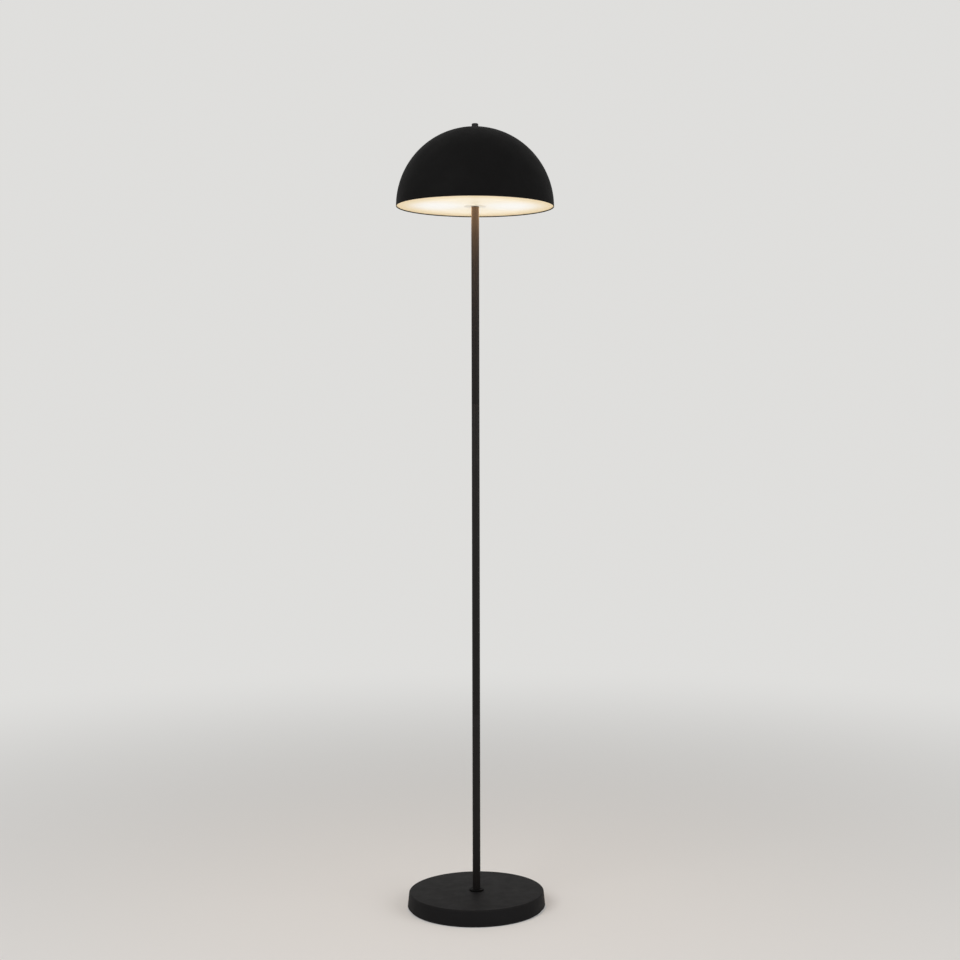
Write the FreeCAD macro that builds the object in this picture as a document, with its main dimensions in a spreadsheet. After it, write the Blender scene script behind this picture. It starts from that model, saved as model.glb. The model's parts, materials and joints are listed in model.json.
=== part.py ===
import FreeCAD, Part
import math
import os
import re
import Sketcher

# A mushroom floor lamp: a heavy round base, a pole of three screwed tubes, and a dome shade over
# an opal disc, with two capsule bulbs inside. Millimetres, +Z up, front towards -Y. The origin
# is on the floor, under the pole's axis.

SIZES = {
    # Base: a pressed cover over a cored casting, closed below by a plate on a foam ring.
    "base_radius": 132.5,
    "base_height": 31.5,
    "base_draft": 3.0,
    "base_rounding": 3.0,
    "base_wall": 1.2,
    "base_edge_height": 4.0,
    "pad_thickness": 4.5,
    "pad_inset": 3.5,
    "pad_width": 40.0,
    "plate_thickness": 1.0,
    "plate_clearance": 0.8,
    "weight_clearance": 1.0,
    "weight_floor": 9.5,
    "weight_rim_width": 9.0,
    "weight_hub_radius": 24.0,
    "weight_draft": 1.5,
    "weight_recess_radius": 16.0,
    "weight_recess_height": 16.0,
    "rib_count": 6,
    "rib_width": 6.0,
    "rib_drop": 4.0,
    "cable_slot_width": 9.0,
    "cable_slot_height": 12.0,
    "screw_count": 3,
    "screw_circle": 45.0,
    "screw_angle": 30.0,
    "screw_radius": 2.0,
    "screw_length": 8.0,
    "screw_head_radius": 4.0,
    "screw_head_height": 1.8,
    "gland_height": 11.5,
    "gland_bore": 3.2,
    "gland_neck": 4.4,
    "gland_lip_length": 3.0,
    "gland_flange": 5.8,
    "gland_flange_length": 2.6,
    "collar_radius": 13.8,
    "collar_height": 3.0,
    "collar_chamfer": 0.6,
    # Pole: three tubes with threaded inserts, screwed together on hollow nipples.
    "pole_radius": 7.5,
    "pole_wall": 1.0,
    "pole_chamfer": 0.25,
    "lower_length": 338.5,
    "middle_length": 596.0,
    "upper_length": 374.3,
    "insert_length": 14.0,
    "thread_radius": 5.0,
    "thread_bore": 3.5,
    "thread_reach": 12.0,
    "thread_tail": 1.5,
    "thread_clearance": 0.3,
    "fit_gap": 0.05,
    "nut_flats": 14.0,
    "nut_height": 5.0,
    "thin_nut_height": 3.0,
    "washer_radius": 11.0,
    "washer_thickness": 1.5,
    # Disc and the hub above it, which carries the two lampholders.
    "ring_radius": 21.0,
    "ring_height": 1.0,
    "ring_chamfer": 0.4,
    "diffuser_thickness": 3.0,
    "diffuser_clearance": 0.9,
    "diffuser_chamfer": 0.4,
    "hub_radius": 18.0,
    "hub_wall": 3.0,
    "hub_floor": 2.0,
    "hub_height": 26.0,
    "hub_chamfer": 1.5,
    "hub_lid_thickness": 1.5,
    "hub_lid_chamfer": 0.8,
    "hub_lid_lip": 3.0,
    "hub_lid_clearance": 0.1,
    "bracket_thickness": 1.0,
    "bracket_width": 8.0,
    "bracket_foot": 6.0,
    "terminal_length": 13.0,
    "terminal_width": 7.0,
    "terminal_height": 8.0,
    "terminal_well_radius": 1.6,
    "terminal_well_depth": 3.0,
    "terminal_screw_clearance": 0.1,
    "lead_radius": 0.8,
    "lead_spacing": 3.2,
    # Lampholder and capsule bulb, one each side of the pole, measured outwards from its axis.
    "holder_height": 14.0,
    "cup_gap": 0.5,
    "cup_wall": 1.5,
    "cup_depth": 9.0,
    "cup_chamfer": 0.8,
    "ceramic_radius": 10.0,
    "ceramic_length": 18.0,
    "ceramic_chamfer": 0.8,
    "socket_width": 14.0,
    "socket_height": 9.0,
    "socket_depth": 6.0,
    "pin_spacing": 9.0,
    "pin_radius": 0.6,
    "pin_length": 8.5,
    "contact_length": 7.0,
    "contact_wall": 0.5,
    "contact_clearance": 0.3,
    "bulb_clearance": 0.3,
    "bulb_base_radius": 8.5,
    "bulb_base_length": 6.5,
    "bulb_base_chamfer": 1.0,
    "glass_radius": 8.0,
    "glass_wall": 0.9,
    "glass_length": 31.0,
    "core_width": 4.5,
    "core_length": 22.0,
    # Shade: a spun half sphere that hangs on a rod under its thumb nut.
    "shade_radius": 150.0,
    "shade_wall": 1.0,
    "shade_drop": 1.8,
    "shade_seat_radius": 10.0,
    "rod_radius": 3.0,
    "rod_tail": 1.5,
    "rod_reach": 5.0,
    "rod_clearance": 0.5,
    "rod_nut_flats": 10.0,
    "rod_nut_height": 5.0,
    "shade_washer_radius": 8.0,
    "shade_washer_thickness": 1.5,
    "finial_radius": 6.3,
    "finial_height": 7.8,
    "finial_chamfer": 0.8,
    "finial_bore_depth": 6.0,
}

doc = FreeCAD.newDocument("mushroom_floor_lamp")
sheet = doc.addObject("Spreadsheet::Sheet", "Sizes")
for row, (size_name, size_value) in enumerate(SIZES.items(), start=1):
    sheet.set(f"A{row}", size_name.replace("_", " "))
    sheet.set(f"B{row}", str(size_value))
    sheet.setAlias(f"B{row}", size_name)
doc.recompute()

# Heights above the floor, each a formula of the sizes.
PLATE_BOTTOM = "(pad_thickness)"
WEIGHT_BOTTOM = f"({PLATE_BOTTOM} + plate_thickness)"
COVER_UNDERSIDE = "(base_height - base_wall)"
RECESS_TOP = f"({WEIGHT_BOTTOM} + weight_recess_height)"
POLE_BOTTOM = "(base_height + collar_height)"
LOWER_JOINT = f"({POLE_BOTTOM} + lower_length)"
UPPER_JOINT = f"({LOWER_JOINT} + middle_length)"
POLE_TOP = f"({UPPER_JOINT} + upper_length)"
DIFFUSER_BOTTOM = f"({POLE_TOP} + ring_height)"
HUB_BOTTOM = f"({DIFFUSER_BOTTOM} + diffuser_thickness)"
HUB_TOP = f"({HUB_BOTTOM} + hub_height)"
HOLDER_AXIS = f"({HUB_BOTTOM} + holder_height)"
LID_TOP = f"({HUB_TOP} + hub_lid_thickness)"
RIM = f"({DIFFUSER_BOTTOM} - shade_drop)"
SHADE_RISE = "sqrt(shade_radius^2 - shade_seat_radius^2)"
SHADE_SEAT = f"({RIM} + {SHADE_RISE})"
SHADE_UNDERSIDE = f"({SHADE_SEAT} - shade_wall)"

# Radii that several pieces share.
TUBE_BORE = "(pole_radius - pole_wall)"
THREAD_HOLE = "(thread_radius + fit_gap)"
LOOSE_HOLE = "(thread_radius + thread_clearance)"
ROD_THREAD = "(rod_radius + fit_gap)"
HUB_BORE = "(hub_radius - hub_wall)"

# Distances outwards from the pole's axis, on either side.
CUP_BACK = "(hub_radius + cup_gap)"
CERAMIC_BACK = f"({CUP_BACK} + cup_wall)"
CERAMIC_FRONT = f"({CERAMIC_BACK} + ceramic_length)"
BULB_SEAT = f"({CERAMIC_FRONT} + bulb_clearance)"
GLASS_START = f"({BULB_SEAT} + bulb_base_length)"
SOCKET_FLOOR = f"({CERAMIC_FRONT} - socket_depth)"
PLUG_END = f"({SOCKET_FLOOR} + bulb_clearance)"

SIDES = {"left": -90, "right": 90}
SUBPARTS = []


def formula(text):
    """The text as an expression, with each size's name made a reference to its cell."""
    def cell(word):
        return f"Sizes.{word.group()}" if word.group() in SIZES else word.group()
    return re.sub(r"[a-z_]+", cell, text)


def value(text):
    """The number that a formula of the sizes comes to."""
    result = sheet.evalExpression(formula(text))
    return float(getattr(result, "Value", result))


def tie(piece, **formulas):
    """Binds properties of an object to formulas."""
    for name, text in formulas.items():
        piece.setExpression(name, formula(text))


def place(piece, x="0", y="0", z="0", axis=None, turn=0):
    """Sets a piece at the formulas x, y and z, turned about an axis by so many degrees."""
    if axis:
        piece.Placement = FreeCAD.Placement(FreeCAD.Vector(), FreeCAD.Rotation(axis, turn))
    for letter, text in zip("xyz", (x, y, z)):
        if text != "0":
            piece.setExpression(f"Placement.Base.{letter}", formula(text))
    return piece


def keep(piece, label):
    """Names a finished sub-part."""
    piece.Label = label
    SUBPARTS.append(piece)
    return piece


def new_body(name):
    return doc.addObject("PartDesign::Body", f"{name}_body")


def new_sketch(body, plane, offset=None):
    """An empty sketch on one of the body's own origin planes, moved along its normal."""
    sketch = body.newObject("Sketcher::SketchObject", f"{body.Name}_sketch")
    support = next(part for part in body.Origin.OriginFeatures if part.Role == plane)
    sketch.AttachmentSupport = [(support, "")]
    sketch.MapMode = "FlatFace"
    if offset:
        sketch.setExpression("AttachmentOffset.Base.z", formula(offset))
    return sketch


def locate(sketch, geometry, end, x, y):
    """Fixes a point of a sketch at two formulas, measured from the sketch's origin."""
    for kind, axis, text in (("DistanceX", -2, x), ("DistanceY", -1, y)):
        number = value(text)
        if abs(number) < 1e-9:
            sketch.addConstraint(Sketcher.Constraint("PointOnObject", geometry, end, axis))
            continue
        if number > 0:
            rule = Sketcher.Constraint(kind, -1, 1, geometry, end, number)
        else:
            rule = Sketcher.Constraint(kind, geometry, end, -1, 1, -number)
            text = f"-({text})"
        index = sketch.addConstraint(rule)
        sketch.setExpression(f"Constraints[{index}]", formula(text))


def fix_radius(sketch, geometry, radius):
    index = sketch.addConstraint(Sketcher.Constraint("Radius", geometry, value(radius)))
    sketch.setExpression(f"Constraints[{index}]", formula(radius))


def arc_between(start, end, radius, side):
    """An arc of less than half a turn. side is 1 where it bends left, and -1 where it bends right."""
    chord = end - start
    left = FreeCAD.Vector(-chord.y, chord.x, 0).normalize()
    rise = math.sqrt(radius ** 2 - (chord.Length / 2) ** 2)
    centre = (start + end) / 2 + left * side * rise
    spokes = (start - centre, end - centre) if side > 0 else (end - centre, start - centre)
    angles = [math.atan2(spoke.y, spoke.x) for spoke in spokes]
    return Part.ArcOfCircle(Part.Circle(centre, FreeCAD.Vector(0, 0, 1), radius), *angles)


def draw_outline(sketch, corners, arcs=None):
    """Draws a closed outline through corners given as pairs of formulas. arcs gives the radius
    and the side of each stretch that is an arc, by the number of the corner it leaves."""
    arcs = arcs or {}
    points = [FreeCAD.Vector(value(x), value(y), 0) for x, y in corners]
    stretches = []
    for number, start in enumerate(points):
        end = points[(number + 1) % len(points)]
        if number in arcs:
            radius, side = arcs[number]
            geometry = sketch.addGeometry(arc_between(start, end, value(radius), side))
            stretches.append((geometry, 1, 2) if side > 0 else (geometry, 2, 1))
        else:
            geometry = sketch.addGeometry(Part.LineSegment(start, end))
            stretches.append((geometry, 1, 2))
    for number, (geometry, first, last) in enumerate(stretches):
        after, after_first, _ = stretches[(number + 1) % len(stretches)]
        sketch.addConstraint(Sketcher.Constraint("Coincident", geometry, last, after, after_first))
        locate(sketch, geometry, first, *corners[number])
    for number, (radius, _) in arcs.items():
        fix_radius(sketch, stretches[number][0], radius)


def draw_circle(sketch, x, y, radius):
    centre = FreeCAD.Vector(value(x), value(y), 0)
    circle = Part.Circle(centre, FreeCAD.Vector(0, 0, 1), value(radius))
    geometry = sketch.addGeometry(circle)
    locate(sketch, geometry, 3, x, y)
    fix_radius(sketch, geometry, radius)


def turned(name, corners, arcs=None):
    """A body turned about Z from an outline of radius and height."""
    body = new_body(name)
    sketch = new_sketch(body, "XZ_Plane")
    draw_outline(sketch, corners, arcs)
    turning = body.newObject("PartDesign::Revolution", f"{name}_turning")
    turning.Profile = sketch
    turning.ReferenceAxis = (sketch, ["V_Axis"])
    turning.Angle = 360
    return body


def ring(name, bore, radius, height, lower_chamfer="0", upper_chamfer="0"):
    """A turned ring or tube with optional chamfers on its outer edges."""
    corners = [(bore, "0"), (radius, "0")]
    if lower_chamfer != "0":
        corners[1:] = [(f"{radius} - {lower_chamfer}", "0"), (radius, lower_chamfer)]
    if upper_chamfer != "0":
        corners += [(radius, f"{height} - {upper_chamfer}"), (f"{radius} - {upper_chamfer}", height)]
    else:
        corners.append((radius, height))
    corners.append((bore, height))
    return turned(name, corners)


def pad(body, sketch, length, both_ways=False):
    """Extrudes a sketch."""
    feature = body.newObject("PartDesign::Pad", f"{body.Name}_pad")
    feature.Profile = sketch
    feature.Midplane = both_ways
    tie(feature, Length=length)
    return feature


def pocket(body, sketch, length, reverse=False, both_ways=False):
    """Cuts a sketch out of a body, and makes sure that it took something away."""
    doc.recompute()
    before = body.Shape.Volume
    feature = body.newObject("PartDesign::Pocket", f"{body.Name}_pocket")
    feature.Profile = sketch
    feature.Reversed = reverse
    feature.Midplane = both_ways
    tie(feature, Length=length)
    doc.recompute()
    if body.Shape.Volume > before - 1e-6:
        raise RuntimeError(f"a pocket of {body.Name} cuts nothing")
    return feature


def around(body, feature, sketch, count):
    """Repeats a feature evenly round the sketch's normal."""
    pattern = body.newObject("PartDesign::PolarPattern", f"{body.Name}_pattern")
    pattern.Originals = [feature]
    pattern.Axis = (sketch, ["N_Axis"])
    pattern.Angle = 360
    tie(pattern, Occurrences=count)
    body.Tip = pattern
    return pattern


def round_edge(body, radius, height, rounding):
    """Rounds the body's circular edge of that radius at that height."""
    doc.recompute()
    base = body.Tip
    names = []
    for number, edge in enumerate(base.Shape.Edges, start=1):
        curve = edge.Curve
        if not isinstance(curve, Part.Circle):
            continue
        if abs(curve.Radius - value(radius)) < 0.01 and abs(curve.Center.z - value(height)) < 0.01:
            names.append(f"Edge{number}")
    feature = body.newObject("PartDesign::Fillet", f"{body.Name}_rounding")
    feature.Base = (base, names)
    tie(feature, Radius=rounding)
    return feature


def hex_nut(name, flats, bore, height):
    """A hexagonal nut standing on its lower face."""
    blank = doc.addObject("Part::Prism", f"{name}_blank")
    blank.Polygon = 6
    tie(blank, Circumradius=f"{flats} / sqrt(3)", Height=height)
    hole = doc.addObject("Part::Cylinder", f"{name}_hole")
    tie(hole, Radius=bore, Height=height)
    nut = doc.addObject("Part::Cut", f"{name}_cut")
    nut.Base = blank
    nut.Tool = hole
    return nut


def group(name, members):
    """Alike pieces kept as one node of separate solids."""
    compound = doc.addObject("Part::Compound", f"{name}_group")
    compound.Links = members
    return compound


# Base.

def base_pad():
    outer = "(base_radius - pad_inset)"
    keep(ring("base_pad", f"{outer} - pad_width", outer, "pad_thickness"), "base_pad")


def screw_place(number):
    """Formulas for one plate screw's X and Y."""
    angle = f"(screw_angle + {number} * 360 / screw_count)"
    return f"screw_circle * cos({angle})", f"screw_circle * sin({angle})"


def base_plate():
    radius = "(base_radius - base_wall - plate_clearance)"
    body = turned("base_plate", [("0", "0"), (radius, "0"), (radius, "plate_thickness"),
                                 ("0", "plate_thickness")])
    sketch = new_sketch(body, "XY_Plane", "plate_thickness")
    draw_circle(sketch, *screw_place(0), "screw_radius + thread_clearance")
    around(body, pocket(body, sketch, "plate_thickness"), sketch, "screw_count")
    keep(place(body, z=PLATE_BOTTOM), "base_plate")


def plate_screws():
    screws = []
    for number in range(int(SIZES["screw_count"])):
        screw = turned(f"plate_screw_{number + 1}", [
            ("0", "0"), ("screw_head_radius", "0"), ("screw_head_radius", "screw_head_height"),
            ("screw_radius", "screw_head_height"),
            ("screw_radius", "screw_head_height + screw_length"),
            ("0", "screw_head_height + screw_length")])
        x, y = screw_place(number)
        screws.append(place(screw, x, y, f"{PLATE_BOTTOM} - screw_head_height"))
    keep(group("plate_screws", screws), "plate_screws")


def base_weight():
    height = f"({COVER_UNDERSIDE} - {WEIGHT_BOTTOM})"
    outer = "(base_radius - base_draft - base_rounding - weight_clearance)"
    rim_inner = f"({outer} - weight_rim_width)"
    body = turned("base_weight", [
        ("weight_recess_radius", "0"), (outer, "0"), (outer, height),
        (f"{rim_inner} + weight_draft", height), (rim_inner, "weight_floor"),
        ("weight_hub_radius + weight_draft", "weight_floor"), ("weight_hub_radius", height),
        (LOOSE_HOLE, height), (LOOSE_HOLE, "weight_recess_height"),
        ("weight_recess_radius", "weight_recess_height")])
    rib = new_sketch(body, "XY_Plane")
    rib_ends = ("weight_recess_radius + rib_width / 2", f"{rim_inner} + weight_rim_width / 2")
    draw_outline(rib, [(rib_ends[0], "-rib_width / 2"), (rib_ends[1], "-rib_width / 2"),
                       (rib_ends[1], "rib_width / 2"), (rib_ends[0], "rib_width / 2")])
    around(body, pad(body, rib, f"{height} - rib_drop"), rib, "rib_count")
    slot = new_sketch(body, "XY_Plane")
    slot_ends = ("weight_recess_radius / 2", "base_radius")
    draw_outline(slot, [("-cable_slot_width / 2", slot_ends[0]), ("cable_slot_width / 2", slot_ends[0]),
                        ("cable_slot_width / 2", slot_ends[1]), ("-cable_slot_width / 2", slot_ends[1])])
    pocket(body, slot, "cable_slot_height", reverse=True)
    holes = new_sketch(body, "XY_Plane")
    draw_circle(holes, *screw_place(0), "screw_radius + fit_gap")
    around(body, pocket(body, holes, "screw_length", reverse=True), holes, "screw_count")
    keep(place(body, z=WEIGHT_BOTTOM), "base_weight")


def base_cover():
    top = "(base_radius - base_draft)"
    body = turned("base_cover", [
        ("base_radius", "base_edge_height"), (top, "base_height"), (LOOSE_HOLE, "base_height"),
        (LOOSE_HOLE, COVER_UNDERSIDE), (f"{top} - base_wall", COVER_UNDERSIDE),
        ("base_radius - base_wall", "base_edge_height")])
    round_edge(body, top, "base_height", "base_rounding")
    round_edge(body, f"{top} - base_wall", COVER_UNDERSIDE, "base_rounding - base_wall")
    hole = new_sketch(body, "XZ_Plane")
    draw_circle(hole, "0", "gland_height", "gland_neck")
    pocket(body, hole, "base_radius + base_wall")
    return keep(body, "base_cover")


def cable_gland(cover):
    """A rubber bush, snapped into the hole at the rear of the cover."""
    slope = "base_draft * (gland_height - base_edge_height) / (base_height - base_edge_height)"
    wall_middle = f"(base_radius - {slope} - base_wall / 2)"
    inner_end = f"({wall_middle} - base_wall / 2 - gland_lip_length)"
    outer_end = f"({wall_middle} + base_wall / 2 + gland_flange_length)"
    bush = turned("cable_gland", [
        ("gland_bore", inner_end), ("gland_neck", inner_end),
        ("gland_flange", f"{inner_end} + gland_lip_length / 2"),
        ("gland_flange", f"{outer_end} - gland_flange_length / 2"),
        ("gland_neck", outer_end), ("gland_bore", outer_end)])
    place(bush, z="gland_height", axis=FreeCAD.Vector(1, 0, 0), turn=-90)
    seated = doc.addObject("Part::Cut", "cable_gland_seated")
    seated.Base = bush
    seated.Tool = cover
    keep(seated, "cable_gland")


def base_clamp():
    """The nipple, washer and nut that hold the base together, and the collar round the pole's foot."""
    nut_bottom = f"({RECESS_TOP} - washer_thickness - nut_height)"
    nipple_bottom = f"({nut_bottom} - thread_tail)"
    washer = ring("base_washer", LOOSE_HOLE, "washer_radius", "washer_thickness")
    keep(place(washer, z=f"{RECESS_TOP} - washer_thickness"), "base_washer")
    nut = hex_nut("base_nut", "nut_flats", THREAD_HOLE, "nut_height")
    keep(place(nut, z=nut_bottom), "base_nut")
    length = f"({POLE_BOTTOM} + thread_reach - {nipple_bottom})"
    nipple = ring("base_nipple", "thread_bore", "thread_radius", length)
    keep(place(nipple, z=nipple_bottom), "base_nipple")
    collar = ring("base_collar", LOOSE_HOLE, "collar_radius", "collar_height",
                  upper_chamfer="collar_chamfer")
    keep(place(collar, z="base_height"), "base_collar")


# Pole.

def pole_section(name, length, bottom):
    """One tube of the pole, with a threaded insert pressed into each end."""
    tube = ring(name, TUBE_BORE, "pole_radius", length, "pole_chamfer", "pole_chamfer")
    keep(place(tube, z=bottom), name)
    ends = {"bottom": bottom, "top": f"{bottom} + {length} - insert_length"}
    for end, height in ends.items():
        insert = ring(f"{name}_{end}_insert", THREAD_HOLE, f"{TUBE_BORE} - fit_gap", "insert_length")
        keep(place(insert, z=height), f"{name}_{end}_insert")


def pole_joint(name, height):
    """The hollow nipple that screws two sections of the pole together."""
    nipple = ring(name, "thread_bore", "thread_radius", "2 * thread_reach")
    keep(place(nipple, z=f"{height} - thread_reach"), name)


# Disc, hub and wiring.

def diffuser_and_ring():
    support = ring("diffuser_ring", LOOSE_HOLE, "ring_radius", "ring_height",
                   lower_chamfer="ring_chamfer")
    keep(place(support, z=POLE_TOP), "diffuser_ring")
    radius = "(shade_radius - shade_wall - diffuser_clearance)"
    disc = ring("diffuser", LOOSE_HOLE, radius, "diffuser_thickness",
                "diffuser_chamfer", "diffuser_chamfer")
    keep(place(disc, z=DIFFUSER_BOTTOM), "diffuser")


def hub():
    body = turned("hub", [
        (LOOSE_HOLE, "0"), ("hub_radius - hub_chamfer", "0"), ("hub_radius", "hub_chamfer"),
        ("hub_radius", "hub_height"), (HUB_BORE, "hub_height"), (HUB_BORE, "hub_floor"),
        (LOOSE_HOLE, "hub_floor")])
    sockets = new_sketch(body, "YZ_Plane")
    draw_circle(sockets, "0", "holder_height", THREAD_HOLE)
    pocket(body, sockets, "2 * hub_radius + hub_wall", both_ways=True)
    keep(place(body, z=HUB_BOTTOM), "hub")
    lip = f"({HUB_BORE} - hub_lid_clearance)"
    top = "(hub_lid_lip + hub_lid_thickness)"
    lid = turned("hub_lid", [
        (f"{lip} - hub_lid_thickness", "0"), (lip, "0"), (lip, "hub_lid_lip"),
        ("hub_radius", "hub_lid_lip"), ("hub_radius", f"{top} - hub_lid_chamfer"),
        ("hub_radius - hub_lid_chamfer", top), (ROD_THREAD, top), (ROD_THREAD, "hub_lid_lip"),
        (f"{lip} - hub_lid_thickness", "hub_lid_lip")])
    keep(place(lid, z=f"{HUB_TOP} - hub_lid_lip"), "hub_lid")


def hub_clamp():
    """The nipple that joins the hub to the pole through the disc, and its thin nut."""
    floor = f"({HUB_BOTTOM} + hub_floor)"
    nut = hex_nut("hub_nut", "nut_flats", THREAD_HOLE, "thin_nut_height")
    keep(place(nut, z=floor), "hub_nut")
    bottom = f"({POLE_TOP} - thread_reach)"
    length = f"({floor} + thin_nut_height + thread_tail - {bottom})"
    nipple = ring("hub_nipple", "thread_bore", "thread_radius", length)
    keep(place(nipple, z=bottom), "hub_nipple")


def terminal():
    """The terminal block on its bracket inside the hub, its screws, and the leads to each side."""
    foot = "(nut_flats / 2 + bracket_thickness)"
    riser = "(terminal_width / 2)"
    step = "(hub_floor + thin_nut_height + thread_tail + bracket_thickness / 2)"
    top = "(holder_height + terminal_height / 2)"
    bracket = new_body("terminal_bracket")
    sketch = new_sketch(bracket, "YZ_Plane")
    draw_outline(sketch, [
        (foot, "hub_floor"), (f"{foot} + bracket_foot", "hub_floor"),
        (f"{foot} + bracket_foot", "hub_floor + bracket_thickness"),
        (f"{foot} + bracket_thickness", "hub_floor + bracket_thickness"),
        (f"{foot} + bracket_thickness", f"{step} + bracket_thickness"),
        (f"{riser} + bracket_thickness", f"{step} + bracket_thickness"),
        (f"{riser} + bracket_thickness", top), (riser, top), (riser, step), (foot, step)])
    pad(bracket, sketch, "bracket_width", both_ways=True)
    keep(place(bracket, z=HUB_BOTTOM), "terminal_bracket")

    block = new_body("terminal_block")
    base = new_sketch(block, "XY_Plane")
    corner = ("terminal_length / 2", "terminal_width / 2")
    draw_outline(base, [(f"-{corner[0]}", f"-{corner[1]}"), (corner[0], f"-{corner[1]}"), corner,
                        (f"-{corner[0]}", corner[1])])
    pad(block, base, "terminal_height")
    wells = new_sketch(block, "XY_Plane", "terminal_height")
    for side in ("-", ""):
        draw_circle(wells, f"{side}terminal_length / 4", "0", "terminal_well_radius")
    pocket(block, wells, "terminal_well_depth")
    keep(place(block, z=f"{HOLDER_AXIS} - terminal_height / 2"), "terminal_block")

    screws = []
    well_floor = f"({HOLDER_AXIS} + terminal_height / 2 - terminal_well_depth)"
    for number, side in enumerate(("-", "")):
        screw = doc.addObject("Part::Cylinder", f"terminal_screw_{number + 1}")
        tie(screw, Radius="terminal_well_radius - terminal_screw_clearance",
            Height="terminal_well_depth / 2")
        screws.append(place(screw, x=f"{side}terminal_length / 4", z=well_floor))
    keep(group("terminal_screws", screws), "terminal_screws")


def leads(side, turn):
    """A holder's two wires, from the terminal block through its nipple to the ceramic."""
    wires = []
    for name, sign in (("inner", "-"), ("outer", "")):
        wire = doc.addObject("Part::Cylinder", f"lead_{side}_{name}")
        tie(wire, Radius="lead_radius", Height=f"{CERAMIC_BACK} - terminal_length / 2")
        place(wire, f"{'-' if turn < 0 else ''}terminal_length / 2", "0",
              f"{HOLDER_AXIS} {sign or '+'} lead_spacing / 2", FreeCAD.Vector(0, 1, 0), turn)
        wires.append(wire)
    keep(group(f"leads_{side}", wires), f"leads_{side}")


# Lampholders and bulbs, drawn along Z and laid down to one side.

def lay(piece, label, turn):
    """Lays a piece that was drawn along Z down to its side of the hub."""
    keep(place(piece, z=HOLDER_AXIS, axis=FreeCAD.Vector(0, 1, 0), turn=turn), label)


def lampholder(side, turn):
    start = f"({HUB_BORE} - thread_tail)"
    nipple = turned(f"holder_nipple_{side}", [
        ("thread_bore", start), ("thread_radius", start), ("thread_radius", CERAMIC_BACK),
        ("thread_bore", CERAMIC_BACK)])
    lay(nipple, f"holder_nipple_{side}", turn)

    inner = "(ceramic_radius + fit_gap)"
    outer = f"({inner} + cup_wall)"
    mouth = f"({CUP_BACK} + cup_depth)"
    cup = turned(f"holder_cup_{side}", [
        (THREAD_HOLE, CUP_BACK), (f"{outer} - cup_chamfer", CUP_BACK),
        (outer, f"{CUP_BACK} + cup_chamfer"), (outer, mouth), (inner, mouth),
        (inner, CERAMIC_BACK), (THREAD_HOLE, CERAMIC_BACK)])
    lay(cup, f"holder_cup_{side}", turn)

    ceramic = turned(f"lampholder_{side}", [
        ("0", CERAMIC_BACK), ("ceramic_radius", CERAMIC_BACK),
        ("ceramic_radius", f"{CERAMIC_FRONT} - ceramic_chamfer"),
        ("ceramic_radius - ceramic_chamfer", CERAMIC_FRONT), ("0", CERAMIC_FRONT)])
    socket = new_sketch(ceramic, "XY_Plane", CERAMIC_FRONT)
    draw_outline(socket, [("-socket_height / 2", "-socket_width / 2"),
                          ("socket_height / 2", "-socket_width / 2"),
                          ("socket_height / 2", "socket_width / 2"),
                          ("-socket_height / 2", "socket_width / 2")])
    pocket(ceramic, socket, "socket_depth")
    holes = new_sketch(ceramic, "XY_Plane", SOCKET_FLOOR)
    for sign in ("-", ""):
        draw_circle(holes, "0", f"{sign}pin_spacing / 2",
                    "pin_radius + contact_clearance + contact_wall + fit_gap")
    pocket(ceramic, holes, f"{SOCKET_FLOOR} - {CERAMIC_BACK} - cup_wall")
    lay(ceramic, f"lampholder_{side}", turn)


def pair_beside(name, side, turn, radius, start, length, bore=None):
    """Two alike round pieces at the pin spacing, as one node."""
    pieces = []
    for number, sign in enumerate(("-", "")):
        if bore:
            piece = ring(f"{name}_{side}_{number + 1}", bore, radius, length)
        else:
            piece = doc.addObject("Part::Cylinder", f"{name}_{side}_{number + 1}")
            tie(piece, Radius=radius, Height=length)
        x = f"-{start}" if turn < 0 else start
        pieces.append(place(piece, x, f"{sign}pin_spacing / 2", HOLDER_AXIS,
                            FreeCAD.Vector(0, 1, 0), turn))
    keep(group(f"{name}_{side}", pieces), f"{name}_{side}")


def bulb(side, turn):
    base = turned(f"bulb_base_{side}", [
        ("0", BULB_SEAT), ("bulb_base_radius - bulb_base_chamfer", BULB_SEAT),
        ("bulb_base_radius", f"{BULB_SEAT} + bulb_base_chamfer"), ("bulb_base_radius", GLASS_START),
        ("0", GLASS_START)])
    plug = new_sketch(base, "XY_Plane", PLUG_END)
    half_height = "(socket_height / 2 - bulb_clearance)"
    half_width = "(socket_width / 2 - bulb_clearance)"
    draw_outline(plug, [(f"-{half_height}", f"-{half_width}"), (half_height, f"-{half_width}"),
                        (half_height, half_width), (f"-{half_height}", half_width)])
    pad(base, plug, f"{BULB_SEAT} - {PLUG_END}")
    lay(base, f"bulb_base_{side}", turn)
    pair_beside("bulb_pins", side, turn, "pin_radius", f"({PLUG_END} - pin_length)", "pin_length")

    tip = f"({GLASS_START} + glass_length)"
    inner = "(glass_radius - glass_wall)"
    shoulder = f"({tip} - glass_radius)"
    glass = turned(f"bulb_glass_{side}", [
        (inner, GLASS_START), ("glass_radius", GLASS_START), ("glass_radius", shoulder), ("0", tip),
        ("0", f"{tip} - glass_wall"), (inner, shoulder)],
        {2: ("glass_radius", 1), 4: (inner, -1)})
    lay(glass, f"bulb_glass_{side}", turn)

    core = new_body(f"bulb_core_{side}")
    section = new_sketch(core, "XY_Plane", GLASS_START)
    draw_outline(section, [("-core_width / 2", "-core_width / 2"), ("core_width / 2", "-core_width / 2"),
                           ("core_width / 2", "core_width / 2"), ("-core_width / 2", "core_width / 2")])
    pad(core, section, "core_length")
    lay(core, f"bulb_core_{side}", turn)


# Shade and what it hangs on.

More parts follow.
